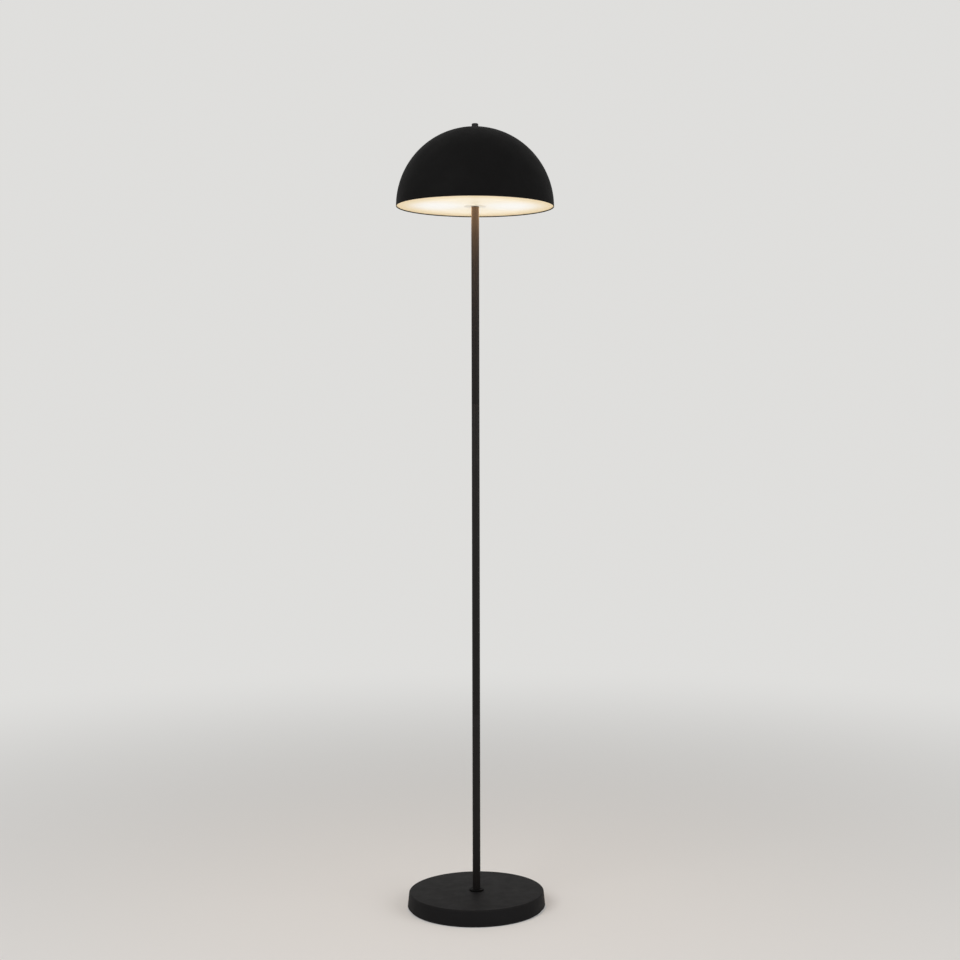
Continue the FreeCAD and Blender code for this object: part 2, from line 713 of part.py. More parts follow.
def shade_rod():
    nut_bottom = f"({HUB_TOP} - rod_nut_height)"
    rod = doc.addObject("Part::Cylinder", "shade_rod_bar")
    bottom = f"({nut_bottom} - rod_tail)"
    tie(rod, Radius="rod_radius", Height=f"{SHADE_SEAT} + rod_reach - {bottom}")
    keep(place(rod, z=bottom), "shade_rod")
    nuts = []
    for number, height in enumerate((nut_bottom, LID_TOP)):
        nut = hex_nut(f"rod_nut_{number + 1}", "rod_nut_flats", ROD_THREAD, "rod_nut_height")
        nuts.append(place(nut, z=height))
    keep(group("rod_nuts", nuts), "rod_nuts")
    washer_bottom = f"({SHADE_UNDERSIDE} - shade_washer_thickness)"
    washer = ring("shade_washer", ROD_THREAD, "shade_washer_radius", "shade_washer_thickness")
    keep(place(washer, z=washer_bottom), "shade_washer")
    nut = hex_nut("shade_nut", "rod_nut_flats", ROD_THREAD, "rod_nut_height")
    keep(place(nut, z=f"{washer_bottom} - rod_nut_height"), "shade_nut")


def shade():
    """A half sphere of even wall, flattened at the top where the rod passes through."""
    inner = "(shade_radius - shade_wall)"
    inner_rise = f"({SHADE_RISE} - shade_wall)"
    hole = "(rod_radius + rod_clearance)"
    body = turned("shade", [
        ("shade_radius", "0"), ("shade_seat_radius", SHADE_RISE), (hole, SHADE_RISE),
        (hole, inner_rise), (f"sqrt({inner}^2 - {inner_rise}^2)", inner_rise), (inner, "0")],
        {0: ("shade_radius", 1), 4: (inner, -1)})
    keep(place(body, z=RIM), "shade")


def finial():
    """A small thumb nut with a blind thread."""
    body = turned("finial", [
        (ROD_THREAD, "0"), ("finial_radius", "0"), ("finial_radius", "finial_height - finial_chamfer"),
        ("finial_radius - finial_chamfer", "finial_height"), ("0", "finial_height"),
        ("0", "finial_bore_depth"), (ROD_THREAD, "finial_bore_depth")])
    keep(place(body, z=SHADE_SEAT), "finial")


def build():
    base_pad()
    base_plate()
    plate_screws()
    base_weight()
    cable_gland(base_cover())
    base_clamp()
    pole_section("pole_lower", "lower_length", POLE_BOTTOM)
    pole_section("pole_middle", "middle_length", LOWER_JOINT)
    pole_section("pole_upper", "upper_length", UPPER_JOINT)
    pole_joint("pole_lower_nipple", LOWER_JOINT)
    pole_joint("pole_upper_nipple", UPPER_JOINT)
    diffuser_and_ring()
    hub()
    hub_clamp()
    terminal()
    for side, turn in SIDES.items():
        leads(side, turn)
        lampholder(side, turn)
        contact_radius = "(pin_radius + contact_clearance + contact_wall)"
        pair_beside("contacts", side, turn, contact_radius, f"({SOCKET_FLOOR} - contact_length)",
                    "contact_length", bore="(pin_radius + contact_clearance)")
        bulb(side, turn)
    shade_rod()
    shade()
    finial()
    doc.recompute()


def export():
    """Writes each sub-part, once every object of the document is sound."""
    for piece in doc.Objects:
        if "Invalid" in piece.State or "Error" in piece.State:
            raise RuntimeError(f"{piece.Label} failed: {piece.State}")
    os.makedirs("parts", exist_ok=True)
    for piece in SUBPARTS:
        shape = piece.Shape
        if shape.isNull() or not shape.isValid() or not shape.Solids:
            raise RuntimeError(f"{piece.Label} has no sound solid")
    for piece in SUBPARTS:
        piece.Shape.exportStep(f"parts/{piece.Label}.step")
        print(f"{piece.Label}: {len(piece.Shape.Solids)} solid(s), {piece.Shape.Volume:.1f} mm3")


build()
export()
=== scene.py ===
import bmesh
import bpy
import json
import math
from mathutils import Matrix, Vector


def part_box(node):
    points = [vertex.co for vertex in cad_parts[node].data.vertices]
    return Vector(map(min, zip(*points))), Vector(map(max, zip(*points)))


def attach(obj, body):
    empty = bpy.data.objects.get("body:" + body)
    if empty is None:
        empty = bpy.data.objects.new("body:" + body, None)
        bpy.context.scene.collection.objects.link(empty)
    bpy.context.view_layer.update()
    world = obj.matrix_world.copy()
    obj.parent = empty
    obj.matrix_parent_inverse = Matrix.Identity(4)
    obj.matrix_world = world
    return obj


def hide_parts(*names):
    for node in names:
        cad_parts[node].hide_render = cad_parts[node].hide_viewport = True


# A mushroom floor lamp with its finishes. Metres, +Z up, front towards -Y. Every piece takes its
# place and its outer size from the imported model's nodes.

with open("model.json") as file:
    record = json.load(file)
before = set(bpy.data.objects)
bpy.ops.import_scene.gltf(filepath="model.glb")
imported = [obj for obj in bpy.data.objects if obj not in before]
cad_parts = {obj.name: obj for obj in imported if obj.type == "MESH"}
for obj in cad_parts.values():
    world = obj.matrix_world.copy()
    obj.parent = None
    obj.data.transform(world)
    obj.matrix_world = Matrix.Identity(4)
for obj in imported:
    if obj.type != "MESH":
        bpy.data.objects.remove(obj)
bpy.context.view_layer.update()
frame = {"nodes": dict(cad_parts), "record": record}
nodes = frame["nodes"]

MM = 0.001
FULL_TURN = 2 * math.pi
SMOOTH_ANGLE = math.radians(32)
ON_AXIS = 1e-7

# Segments round the turned pieces, and round the cutter for a hole. The wide ones are the shade,
# the cover and the disc. The finial's count comes from its grooves.
WIDE_SEGMENTS = 256
PAD_SEGMENTS = 192
COLLAR_SEGMENTS = 128
RING_SEGMENTS = 96
NUT_SEGMENTS = 72
POLE_SEGMENTS = 64
CUTTER_SEGMENTS = 48
SCREW_SEGMENTS = 32
NIPPLE_SEGMENTS = 24
ROD_SEGMENTS = 20

# Camera: its distance in front of the pole, its height, how it is tilted, its lens, its sideways
# shift as a share of the frame, and how far it sees.
CAMERA_DISTANCE = 3.0065
CAMERA_HEIGHT = 0.9331
CAMERA_PITCH_DOWN = math.radians(2.09)
CAMERA_YAW_RIGHT = math.radians(2.0)
CAMERA_ROLL = math.radians(0.045)
CAMERA_LENS = 58.97
CAMERA_SHIFT = -0.0527
CAMERA_SIGHT = 100

# Lights: name, place, target, size and watts.
SOFT_BOXES = (
    ("key", (-1.9, -2.4, 2.6), (0, 0, 0.8), 2.2, 60),
    ("fill", (2.4, -1.6, 1.6), (0, 0, 0.7), 2.4, 30),
)
# The disc's own light, just below it.
GLOW_GAP = 2 * MM
GLOW_SIZE = 0.27
GLOW_POWER = 2.2

# Light from all round: its strength at the horizon and overhead, and the upward part of the
# direction from which it has the overhead strength.
FILL_AT_HORIZON = 0.62
FILL_OVERHEAD = 0.2
FILL_OVERHEAD_FROM = 0.9

# Floor: half its width, and how it fades into the backdrop away from the lamp.
FLOOR_REACH = 20
FADE_START = 0.4
FADE_END = 3.0
FADE_LEAST = 0.25

# Colours, linear.
BACKDROP = (0.74, 0.735, 0.72)
FLOOR = (0.84, 0.83, 0.815)
FILL_LIGHT = (1, 0.99, 0.97)
SHADE_BLACK = (0.0052, 0.0050, 0.0050)
BASE_BLACK = (0.0086, 0.0084, 0.0089)
POLE_BLACK = (0.0085, 0.0072, 0.0066)
TRIM_BLACK = (0.0034, 0.0031, 0.0030)
RUBBER_BLACK = (0.012, 0.012, 0.012)
WHITE_PAINT = (0.78, 0.77, 0.74)
OPAL = (0.62, 0.60, 0.55)
GLOW_HOT = (1.00, 1.00, 0.98)
GLOW_MIDDLE = (1.00, 0.87, 0.62)
GLOW_EDGE = (1.00, 0.69, 0.24)
LAMP_LIGHT = (1.00, 0.60, 0.31)

# The disc's glow: its strength at the rim and further in, where its parts lie as shares of the
# disc's radius, and the share of that strength that the ring and the upper face have.
GLOW_AT_RIM = 0.44
GLOW_INSIDE = 0.565
HOT_SPOT_CORE = 0.1
HOT_SPOT_REACH = 0.55
RIM_ZONE_START = 0.55
RIM_ZONE_END = 1.02
RING_DIM = 0.7
UPPER_DIM = 0.6


# Shader nodes.

def new_material(name):
    """A material and its Principled shader."""
    made = bpy.data.materials.new(name)
    made.use_nodes = True
    return made, made.node_tree.nodes["Principled BSDF"]


def add(beside, kind, settings=None, **inputs):
    """A new node in another node's tree. inputs are numbers, colours or other nodes' outputs."""
    made = beside.id_data.nodes.new(kind)
    for name, value in (settings or {}).items():
        setattr(made, name, value)
    for name, value in inputs.items():
        feed(made, name.replace("_", " "), value)
    return made


def feed(target, name, value):
    """Sets an input of a node to a value, or links it."""
    socket = target.inputs[name]
    if isinstance(value, bpy.types.NodeSocket):
        target.id_data.links.new(value, socket)
    elif isinstance(value, tuple) and len(value) == 3 and len(socket.default_value) == 4:
        socket.default_value = (*value, 1)
    else:
        socket.default_value = value


def number_math(tree, operation, first, second):
    """A number worked out of two nodes' outputs."""
    made = tree.nodes.new("ShaderNodeMath")
    made.operation = operation
    tree.links.new(first, made.inputs[0])
    tree.links.new(second, made.inputs[1])
    return made.outputs[0]


def vector_math(tree, operation, output, source, other=(0, 0, 0)):
    """An output of a vector operation on a node's output and a fixed vector."""
    made = tree.nodes.new("ShaderNodeVectorMath")
    made.operation = operation
    tree.links.new(source, made.inputs[0])
    made.inputs[1].default_value = other
    return made.outputs[output]


def mixed(tree, share, first, second):
    """The first shader where share is 0, and the second where it is 1."""
    made = tree.nodes.new("ShaderNodeMixShader")
    for socket, source in zip(made.inputs, (share, first, second)):
        tree.links.new(source, socket)
    return made.outputs[0]


def places(shader):
    """The piece's own coordinates, in metres."""
    return add(shader, "ShaderNodeTexCoord").outputs["Object"]


def noise(shader, size, detail=2.0, roughness=0.5):
    """Noise whose features are about that size, in metres."""
    made = add(shader, "ShaderNodeTexNoise", Vector=places(shader), Scale=1 / size, Detail=detail,
               Roughness=roughness)
    return made.outputs["Fac"]


def spread(shader, source, low, high, start=0.3, end=0.7):
    """Maps a source onto the range from low to high."""
    made = add(shader, "ShaderNodeMapRange", {"interpolation_type": "SMOOTHSTEP"}, Value=source,
               From_Min=start, From_Max=end, To_Min=low, To_Max=high)
    return made.outputs["Result"]


def blended(shader, share, low, high):
    """A colour between two others."""
    made = shader.id_data.nodes.new("ShaderNodeMix")
    made.data_type = "RGBA"
    sockets = {socket.name: socket for socket in made.inputs if socket.type == "RGBA"}
    for name, colour in (("A", low), ("B", high)):
        if isinstance(colour, tuple):
            sockets[name].default_value = (*colour, 1)
        else:
            shader.id_data.links.new(colour, sockets[name])
    shader.id_data.links.new(share, made.inputs["Factor"])
    return next(socket for socket in made.outputs if socket.type == "RGBA")


def tint(shader, name, source, low, high, start=0.3, end=0.7):
    """Feeds an input a colour that runs from low to high with a source."""
    feed(shader, name, blended(shader, spread(shader, source, 0, 1, start, end), low, high))


def bump(shader, height, distance, under=None):
    """A bump of that depth in metres, on top of another."""
    made = add(shader, "ShaderNodeBump", Height=height, Distance=distance)
    if under is not None:
        shader.id_data.links.new(under, made.inputs["Normal"])
    return made.outputs["Normal"]


def shades_of(colour, amount):
    """A colour made a little darker, and a little lighter."""
    return tuple(part * (1 - amount) for part in colour), tuple(part * (1 + amount) for part in colour)


# Finishes. The noise sizes, ranges and depths in each are its recipe.

def powder_coat(name, colour, roughness, grain, specular):
    """Matte powder coat: fine grain over a soft orange peel, with faint handling marks."""
    made, shader = new_material(name)
    tint(shader, "Base Color", noise(shader, 45 * MM, 4, 0.6), *shades_of(colour, 0.08))
    marks = noise(shader, 28 * MM, 5, 0.65)
    feed(shader, "Roughness", spread(shader, marks, roughness - 0.04, roughness + 0.04))
    feed(shader, "Specular IOR Level", specular)
    peel = bump(shader, noise(shader, 2.6 * MM, 2), 2 * grain)
    feed(shader, "Normal", bump(shader, noise(shader, 0.45 * MM, 3, 0.7), grain, peel))
    return made


def satin_black(name, roughness, specular):
    """Thin satin lacquer on turned metal."""
    made, shader = new_material(name)
    wear = noise(shader, 6 * MM, 4, 0.7)
    tint(shader, "Base Color", wear, *shades_of(TRIM_BLACK, 0.3), 0.45, 0.75)
    feed(shader, "Roughness", spread(shader, wear, roughness - 0.06, roughness + 0.06))
    feed(shader, "Specular IOR Level", specular)
    feed(shader, "Normal", bump(shader, noise(shader, 0.3 * MM, 2), 0.008 * MM))
    return made


def white_paint(name):
    """Matte white enamel, a little uneven."""
    made, shader = new_material(name)
    mottle = noise(shader, 30 * MM, 4)
    tint(shader, "Base Color", mottle, *shades_of(WHITE_PAINT, 0.03))
    feed(shader, "Roughness", spread(shader, mottle, 0.5, 0.62))
    feed(shader, "Normal", bump(shader, noise(shader, 1.8 * MM, 2), 0.03 * MM))
    return made


def opal_glow(name, dim=1.0):
    """Opal acrylic lit from behind: whitest over the two bulbs, and warmer towards the edge."""
    made, shader = new_material(name)
    tree = made.node_tree
    reach = disc_high.x
    flat = vector_math(tree, "MULTIPLY", "Vector", places(shader), (1, 1, 0))
    left, right = (spread(shader, vector_math(tree, "DISTANCE", "Value", flat, (x, 0, 0)), 1, 0,
                          HOT_SPOT_CORE * reach, HOT_SPOT_REACH * reach) for x in HOT_SPOTS)
    heat = number_math(tree, "MAXIMUM", left, right)
    inward = spread(shader, vector_math(tree, "LENGTH", "Value", flat), 1, 0,
                    RIM_ZONE_START * reach, RIM_ZONE_END * reach)
    cloud = noise(shader, 60 * MM, 3)
    tint(shader, "Base Color", cloud, *shades_of(OPAL, 0.02))
    feed(shader, "Roughness", spread(shader, cloud, 0.4, 0.48))
    feed(shader, "Specular IOR Level", 0.25)
    towards_rim = blended(shader, inward, GLOW_EDGE, GLOW_MIDDLE)
    feed(shader, "Emission Color", blended(shader, heat, towards_rim, GLOW_HOT))
    feed(shader, "Emission Strength",
         spread(shader, inward, GLOW_AT_RIM * dim, GLOW_INSIDE * dim, 0, 1))
    return made


def metal(name, colour, roughness):
    """Plated or plain metal with a fine finish."""
    made, shader = new_material(name)
    cloud = noise(shader, 5 * MM, 5, 0.7)
    tint(shader, "Base Color", cloud, *shades_of(colour, 0.14))
    feed(shader, "Metallic", 1.0)
    feed(shader, "Roughness", spread(shader, cloud, roughness - 0.08, roughness + 0.1))
    feed(shader, "Normal", bump(shader, noise(shader, 0.25 * MM, 2), 0.006 * MM))
    return made


def cast_iron(name):
    """A rough casting."""
    made, shader = new_material(name)
    lumps = noise(shader, 3 * MM, 6, 0.7)
    tint(shader, "Base Color", lumps, (0.045, 0.042, 0.04), (0.09, 0.075, 0.065))
    feed(shader, "Metallic", 0.4)
    feed(shader, "Roughness", spread(shader, lumps, 0.6, 0.85))
    feed(shader, "Normal", bump(shader, lumps, 0.3 * MM))
    return made


def foam(name):
    """Closed-cell foam with fine pores, its colour darker in them as painted shade."""
    made, shader = new_material(name)
    cells = add(shader, "ShaderNodeTexVoronoi", Vector=places(shader), Scale=1 / (0.9 * MM))
    pores = spread(shader, cells.outputs["Distance"], 0, 1, 0.15, 0.6)
    # The base colour is darker in the pores: painted shade in them, over the pore dents.
    feed(shader, "Base Color", blended(shader, pores, (0.010, 0.010, 0.010), (0.022, 0.022, 0.023)))
    feed(shader, "Roughness", spread(shader, pores, 0.95, 0.8, 0, 1))
    feed(shader, "Specular IOR Level", 0.2)
    feed(shader, "Normal", bump(shader, pores, 0.12 * MM))
    return made


def rubber(name):
    """Soft black rubber."""
    made, shader = new_material(name)
    cloud = noise(shader, 4 * MM, 4)
    tint(shader, "Base Color", cloud, *shades_of(RUBBER_BLACK, 0.25))
    feed(shader, "Roughness", spread(shader, cloud, 0.62, 0.78))
    feed(shader, "Normal", bump(shader, noise(shader, 0.4 * MM, 2), 0.02 * MM))
    return made


def glazed_ceramic(name):
    """White ceramic under a thin glaze."""
    made, shader = new_material(name)
    cloud = noise(shader, 9 * MM, 3)
    tint(shader, "Base Color", cloud, (0.70, 0.68, 0.62), (0.76, 0.75, 0.71))
    feed(shader, "Roughness", spread(shader, cloud, 0.3, 0.42))
    feed(shader, "Coat Weight", 0.6)
    feed(shader, "Coat Roughness", 0.12)
    feed(shader, "Normal", bump(shader, noise(shader, 1.5 * MM, 2), 0.03 * MM))
    return made


def moulded(name, colour, roughness):
    """Moulded plastic with a light texture."""
    made, shader = new_material(name)
    cloud = noise(shader, 7 * MM, 4)
    tint(shader, "Base Color", cloud, *shades_of(colour, 0.04))
    feed(shader, "Roughness", spread(shader, cloud, roughness - 0.05, roughness + 0.05))
    feed(shader, "Normal", bump(shader, noise(shader, 0.35 * MM, 2), 0.01 * MM))
    return made


def clear_glass(name):
    """The bulbs' clear glass."""
    made, shader = new_material(name)
    cloud = noise(shader, 12 * MM, 3)
    tint(shader, "Base Color", cloud, (0.97, 0.98, 0.97), (1.0, 1.0, 1.0))
    feed(shader, "Roughness", spread(shader, cloud, 0.02, 0.06))
    feed(shader, "Transmission Weight", 1.0)
    feed(shader, "IOR", 1.46)
    return made


def light_strip(name):
    """The glowing chips in a bulb."""
    made, shader = new_material(name)
    cells = noise(shader, 2 * MM, 2)
    tint(shader, "Base Color", cells, (0.8, 0.62, 0.25), (0.9, 0.78, 0.45))
    feed(shader, "Roughness", spread(shader, cells, 0.4, 0.55))
    tint(shader, "Emission Color", cells, (1.0, 0.74, 0.42), (1.0, 0.85, 0.6))
    feed(shader, "Emission Strength", 1.4)
    return made


shade_low, shade_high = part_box("shade")
disc_low, disc_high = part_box("diffuser")
# The disc is whitest at the outer ends of the strips in the bulbs.
HOT_SPOTS = (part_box("bulb_core_left")[0].x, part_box("bulb_core_right")[1].x)

FINISHES = {
    "base_black": powder_coat("base_powder_coat", BASE_BLACK, 0.62, 0.035 * MM, 0.07),
    "pole_black": powder_coat("pole_powder_coat", POLE_BLACK, 0.55, 0.02 * MM, 0.15),
    "shade_black": powder_coat("shade_powder_coat", SHADE_BLACK, 0.68, 0.025 * MM, 0.05),
    "collar_black": satin_black("collar_lacquer", 0.62, 0.05),
    "finial_black": satin_black("finial_lacquer", 0.42, 0.2),
    "white_paint": white_paint("white_enamel"),
    "opal": opal_glow("opal_acrylic"),
    "opal_ring": opal_glow("opal_ring_acrylic", RING_DIM),
    "opal_upper": opal_glow("opal_upper_acrylic", UPPER_DIM),
    "zinc_steel": metal("zinc_plate", (0.40, 0.41, 0.43), 0.32),
    "brass": metal("plain_brass", (0.72, 0.52, 0.24), 0.3),
    "cast_iron": cast_iron("rough_casting"),
    "foam": foam("closed_cell_foam"),
    "gland_rubber": rubber("soft_rubber"),
    "ceramic_white": glazed_ceramic("glazed_ceramic"),
    "bulb_white": moulded("bulb_plastic", (0.76, 0.75, 0.73), 0.35),
    "bulb_glass": clear_glass("bulb_clear_glass"),
    "bulb_light": light_strip("bulb_light_strip"),
    "terminal_white": moulded("terminal_plastic", (0.74, 0.72, 0.66), 0.5),
    "lead_silicone": moulded("lead_sleeve", (0.66, 0.62, 0.56), 0.6),
}
SLOT_OF = {part["node"]: part["material_slot"] for part in frame["record"]["subparts"]}


# Mesh code.

def rounded(corners, steps):
    """A closed outline of (radius, height, rounding) corners as points, each corner an arc."""
    points = []
    for number, (x, y, size) in enumerate(corners):
        if size == 0:
            points.append((x, y))
            continue
        here = Vector((x, y))
        before = Vector(corners[number - 1][:2]) - here
        after = Vector(corners[(number + 1) % len(corners)][:2]) - here
        half = before.angle(after) / 2
        reach = size / math.tan(half)
        start = here + before.normalized() * reach
        end = here + after.normalized() * reach
        centre = here + (before.normalized() + after.normalized()).normalized() * (size / math.sin(half))
        for step in range(steps + 1):
            spoke = start.lerp(end, step / steps) - centre
            point = centre + spoke.normalized() * size
            points.append((point.x, point.y))
    return points


def turn(name, outline, segments, finishes, finish_at=None, centre=(0, 0)):
    """A closed outline of (radius, height) points turned about an upright axis. The outline may be
    a function of the angle. finish_at picks a finish by the number of a stretch."""
    mesh = bmesh.new()
    rings = []
    for segment in range(segments):
        angle = FULL_TURN * segment / segments
        points = outline(angle) if callable(outline) else outline
        ring = []
        for number, (radius, height) in enumerate(points):
            if radius < ON_AXIS and rings:
                ring.append(rings[0][number])
                continue
            ring.append(mesh.verts.new((centre[0] + radius * math.cos(angle),
                                        centre[1] + radius * math.sin(angle), height)))
        rings.append(ring)
    for segment, ring in enumerate(rings):
        following = rings[(segment + 1) % segments]
        for number in range(len(ring)):
            after = (number + 1) % len(ring)
            corners = [ring[number], following[number], following[after], ring[after]]
            corners = list(dict.fromkeys(corners))
            if len(corners) < 3:
                continue
            face = mesh.faces.new(corners)
            face.material_index = finish_at(number) if finish_at else 0
    return finish_mesh(name, mesh, finishes)


def finish_mesh(name, mesh, finishes):
    """Turns a bmesh into a smooth-shaded object with its finishes."""
    bmesh.ops.recalc_face_normals(mesh, faces=mesh.faces)
    data = bpy.data.meshes.new(name)
    mesh.to_mesh(data)
    mesh.free()
    data.shade_smooth()
    data.set_sharp_from_angle(angle=SMOOTH_ANGLE)
    made = bpy.data.objects.new(name, data)
    bpy.context.scene.collection.objects.link(made)
    for finish in finishes:
        data.materials.append(finish)
    return made


def add_block(mesh, low, high, material_index=0):
    """Adds a box between two corners to a bmesh."""
    size = Vector(high) - Vector(low)
    middle = (Vector(high) + Vector(low)) / 2
    made = bmesh.ops.create_cube(mesh, matrix=Matrix.Translation(middle) @ Matrix.Diagonal((*size, 1)))
    for face in {face for vertex in made["verts"] for face in vertex.link_faces}:
        face.material_index = material_index


def round_cutter(radius, start, end):
    """A bmesh cylinder along Y from start to end."""
    mesh = bmesh.new()
    bmesh.ops.create_cone(mesh, cap_ends=True, segments=CUTTER_SEGMENTS, radius1=radius,
                          radius2=radius, depth=(end - start).length)
    mesh.transform(Matrix.Translation((start + end) / 2) @ Matrix.Rotation(math.pi / 2, 4, "X"))
    return mesh


def cut_away(piece, cutter):
    """Cuts a bmesh out of a piece, and shades the piece again."""
    data = bpy.data.meshes.new("cutter")
    cutter.to_mesh(data)
    cutter.free()
    tool = bpy.data.objects.new("cutter", data)
    bpy.context.scene.collection.objects.link(tool)
    cut = piece.modifiers.new("cut", "BOOLEAN")
    cut.operation = "DIFFERENCE"
    cut.solver = "EXACT"
    cut.object = tool
    evaluated = piece.evaluated_get(bpy.context.evaluated_depsgraph_get())
    result = bpy.data.meshes.new_from_object(evaluated)
    piece.modifiers.clear()
    piece.data = result
    bpy.data.objects.remove(tool)
    piece.data.shade_smooth()
    piece.data.set_sharp_from_angle(angle=SMOOTH_ANGLE)


def joined(name, pieces):
    """One piece made of several with the same finishes."""
    finishes = list(pieces[0].data.materials)
    mesh = bmesh.new()
    for piece in pieces:
        mesh.from_mesh(piece.data)
        bpy.data.objects.remove(piece)
    return finish_mesh(name, mesh, finishes)


def stands_for(piece, body, slot, *replaced):
    """Puts a piece in its CAD nodes' place, on their body."""
    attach(piece, body)
    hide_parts(*replaced)


# Shade.

SHADE_WALL = 1.0 * MM
SHADE_TOP_RING = 7.0 * MM
SHADE_HOLE = 3.5 * MM
SHADE_LIP = disc_low.z - shade_low.z
RIM_ROUNDING = 0.45 * MM
RIM_STEPS = 6
LIP_STEPS = 3
DOME_STEPS = 72


def dome_arc(radius, low, high, steps):
    """Points up a dome of that radius, whose centre is on the rim's plane."""
    first = math.asin((low - shade_low.z) / radius)
    last = math.asin((high - shade_low.z) / radius)
    angles = [first + (last - first) * step / steps for step in range(steps + 1)]
    return [(radius * math.cos(angle), shade_low.z + radius * math.sin(angle)) for angle in angles]


def build_shade():
    """A dome that is black outside and on its rim, and white inside above the disc."""
    outer = shade_high.x
    inner = outer - SHADE_WALL
    rim_top = shade_low.z + RIM_ROUNDING
    lip_top = shade_low.z + SHADE_LIP
    outside = dome_arc(outer, rim_top, shade_high.z, DOME_STEPS)
    inside = dome_arc(inner, lip_top, shade_high.z - SHADE_WALL, DOME_STEPS)
    lip = dome_arc(inner, rim_top, lip_top, LIP_STEPS)[:-1]
    middle = (outer + inner) / 2
    rim = []
    for step in range(1, RIM_STEPS):
        angle = math.pi * step / RIM_STEPS
        rim.append((middle - SHADE_WALL / 2 * math.cos(angle),
                    shade_low.z + RIM_ROUNDING * (1 - math.sin(angle))))
    top = [(SHADE_TOP_RING, shade_high.z), (SHADE_HOLE, shade_high.z),
           (SHADE_HOLE, shade_high.z - SHADE_WALL)]
    white_from = len(outside) + len(top) - 1
    white_to = white_from + len(inside)

    def finish_at(number):
        return 1 if white_from <= number < white_to else 0

    shade = turn("shade_dome", outside + top + inside[::-1] + lip[::-1] + rim, WIDE_SEGMENTS,
                 (FINISHES["shade_black"], FINISHES["white_paint"]), finish_at)
    stands_for(shade, "shade", "shade_black", "shade")


build_shade()


# Finial. Its skirt is given as insets from the radius and rises from the foot, in mm, and its
# crown as insets and drops from the top.

FINIAL_BORE = 3.05 * MM
FINIAL_BORE_DEPTH = 6.0 * MM
FINIAL_NECK = 0.5 * MM
FINIAL_SKIRT = ((0.2, 0.25), (0.2, 0.8))
FINIAL_CROWN = ((0.2, 1.3), (0.3, 0.9), (0.75, 0.35), (1.3, 0.08), (1.9, 0))
KNURL_COUNT = 24
KNURL_DEPTH = 0.28 * MM
KNURL_SHARPNESS = 1.5
KNURL_STEPS = 12
KNURL_RISE = 1.2 * MM
KNURL_DROP = 1.7 * MM


def build_finial():
    """A small knob with a blind bore and fluted sides."""
    low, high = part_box("finial")
    radius = high.x
    bore_top = low.z + FINIAL_BORE_DEPTH

    def outline(angle):
        groove = KNURL_DEPTH * (0.5 - 0.5 * math.cos(KNURL_COUNT * angle)) ** KNURL_SHARPNESS
        grip = radius - groove
        return [(FINIAL_BORE, low.z), (radius - FINIAL_NECK, low.z),
                *((radius - inset * MM, low.z + rise * MM) for inset, rise in FINIAL_SKIRT),
                (grip, low.z + KNURL_RISE), (grip, high.z - KNURL_DROP),
                *((radius - inset * MM, high.z - drop * MM) for inset, drop in FINIAL_CROWN),
                (0, high.z), (0, bore_top), (FINIAL_BORE, bore_top)]

    finial = turn("finial_knob", outline, KNURL_COUNT * KNURL_STEPS, (FINISHES["finial_black"],))
    stands_for(finial, "finial", "finial_black", "finial")


build_finial()


# Base.

CENTRE_HOLE = 5.3 * MM
COVER_WALL = 1.2 * MM
COVER_ROUNDING = 3.0 * MM
COVER_DRAFT = 3.0 * MM
COVER_EDGE = 0.35 * MM
GLAND_HOLE = 4.4 * MM
GLAND_CUT_REACH = 20 * MM
COLLAR_FOOT_EDGE = 0.15 * MM
COLLAR_TOP_EDGE = 0.7 * MM
PAD_WIDTH = 40.0 * MM
PAD_FOOT_EDGE = 0.5 * MM
PAD_TOP_EDGE = 0.2 * MM


def build_cover():
    """The pressed cover, with a hole at the rear for the bush."""
    low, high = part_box("base_cover")
    radius = high.x
    top = radius - COVER_DRAFT
    outline = rounded([
        (radius, low.z, COVER_EDGE), (top, high.z, COVER_ROUNDING), (CENTRE_HOLE, high.z, 0),
        (CENTRE_HOLE, high.z - COVER_WALL, 0),
        (top - COVER_WALL, high.z - COVER_WALL, COVER_ROUNDING - COVER_WALL),
        (radius - COVER_WALL, low.z, COVER_EDGE)], steps=8)
    cover = turn("base_dish", outline, WIDE_SEGMENTS, (FINISHES["base_black"],))
    gland_low, gland_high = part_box("cable_gland")
    height = (gland_low.z + gland_high.z) / 2
    cut_away(cover, round_cutter(GLAND_HOLE, Vector((0, radius - GLAND_CUT_REACH, height)),
                                 Vector((0, radius + GLAND_CUT_REACH, height))))
    stands_for(cover, "stand", "base_black", "base_cover")


def build_collar():
    """The small ring round the pole's foot."""
    low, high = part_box("base_collar")
    outline = rounded([
        (CENTRE_HOLE, low.z, 0), (high.x, low.z, COLLAR_FOOT_EDGE), (high.x, high.z, COLLAR_TOP_EDGE),
        (CENTRE_HOLE, high.z, 0)], steps=6)
    collar = turn("base_collar_ring", outline, COLLAR_SEGMENTS, (FINISHES["collar_black"],))
    stands_for(collar, "stand", "collar_black", "base_collar")


def build_pad():
    """The foam ring that the lamp stands on."""
    low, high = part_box("base_pad")
    outer = high.x
    inner = outer - PAD_WIDTH
    outline = rounded([
        (inner, low.z, PAD_FOOT_EDGE), (outer, low.z, PAD_FOOT_EDGE), (outer, high.z, PAD_TOP_EDGE),
        (inner, high.z, PAD_TOP_EDGE)], steps=4)
    pad = turn("base_foam_ring", outline, PAD_SEGMENTS, (FINISHES["foam"],))
    stands_for(pad, "stand", "foam", "base_pad")


build_cover()
build_collar()
build_pad()


# Pole.

POLE_WALL = 1.0 * MM
POLE_EDGE = 0.25 * MM


